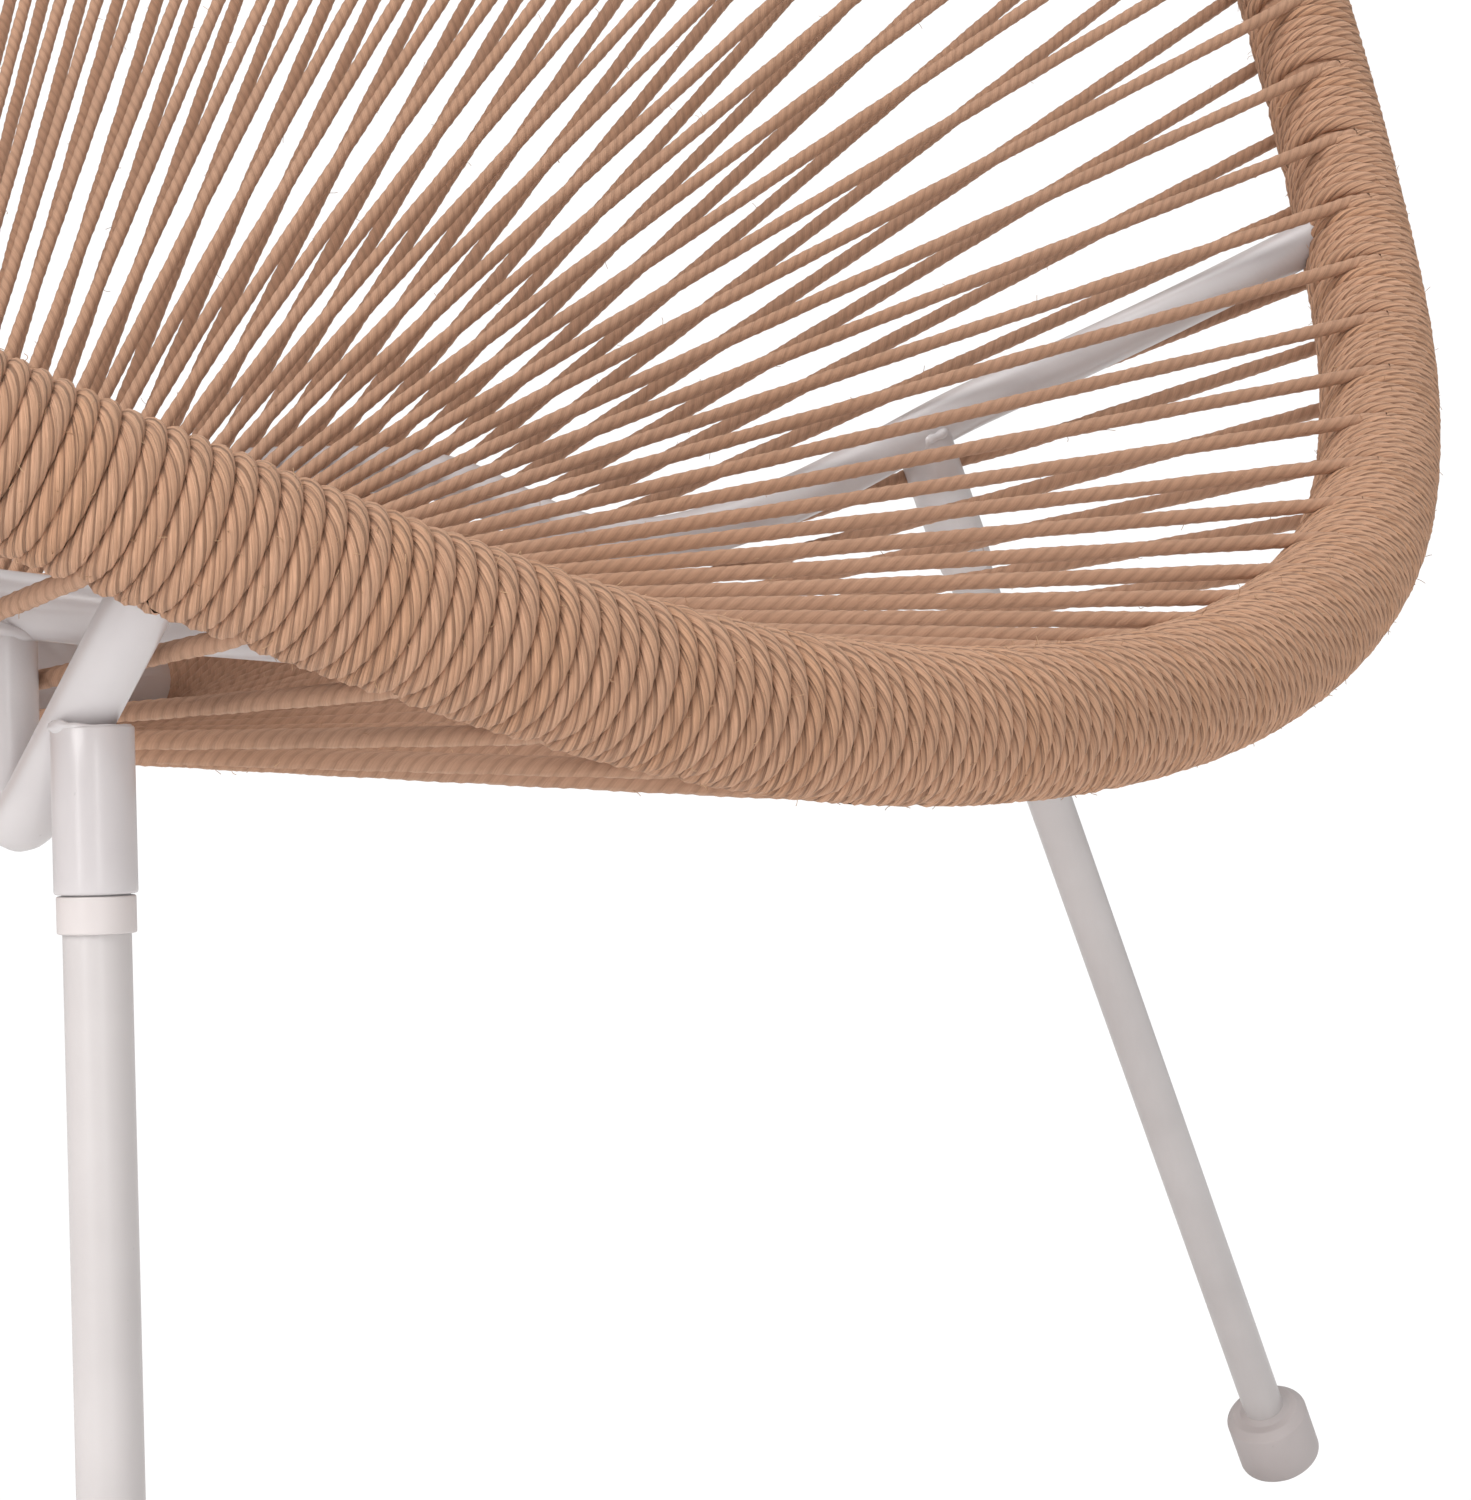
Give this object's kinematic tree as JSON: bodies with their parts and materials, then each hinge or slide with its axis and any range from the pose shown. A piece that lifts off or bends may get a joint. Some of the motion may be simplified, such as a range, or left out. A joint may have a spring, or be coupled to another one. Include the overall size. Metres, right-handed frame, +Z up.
{
  "type": "acapulco chair",
  "caption": "Low egg-shaped lounge chair: a cord-wound hoop and ring, cord strung between them as seat and back, on thin plug-in legs.",
  "frame": {"origin": "on the floor under the middle of the chair's width and depth", "axes": "+Z up; +X towards the sitter's left when seated facing -Y; the chair's front faces -Y"},
  "size_m": [0.7924, 0.8309, 0.8462],
  "materials": {
    "coat": "satin powder coat, faint orange peel",
    "cord": "matt twisted fibre, slightly fuzzy",
    "steel": "bare drawn tube",
    "bush": "satin moulded",
    "foot": "matt moulded"
  },
  "bodies": {
    "root": {"hoop_tube_right": "coat", "hoop_tube_left": "coat", "hoop_spigot_front": "steel", "hoop_spigot_back": "steel", "centre_ring": "coat", "front_cross_rod": "coat", "rear_cross_rod": "coat", "front_bracket_right": "coat", "front_bracket_left": "coat", "front_right_sleeve": "coat", "front_right_bush": "bush", "front_right_leg": "coat", "front_right_cap": "foot", "front_left_sleeve": "coat", "front_left_bush": "bush", "front_left_leg": "coat", "front_left_cap": "foot", "rear_right_sleeve": "coat", "rear_right_bush": "bush", "rear_right_leg": "coat", "rear_right_cap": "foot", "rear_left_sleeve": "coat", "rear_left_bush": "bush", "rear_left_leg": "coat", "rear_left_cap": "foot", "cord_right_01": "cord", "cord_right_02": "cord", "cord_right_03": "cord", "cord_right_04": "cord", "cord_right_05": "cord", "cord_right_06": "cord", "cord_right_07": "cord", "cord_right_08": "cord", "cord_right_09": "cord", "cord_right_10": "cord", "cord_left_01": "cord", "cord_left_02": "cord", "cord_left_03": "cord", "cord_left_04": "cord", "cord_left_05": "cord", "cord_left_06": "cord", "cord_left_07": "cord", "cord_left_08": "cord", "cord_left_09": "cord", "cord_left_10": "cord"}
  },
  "joints": []
}
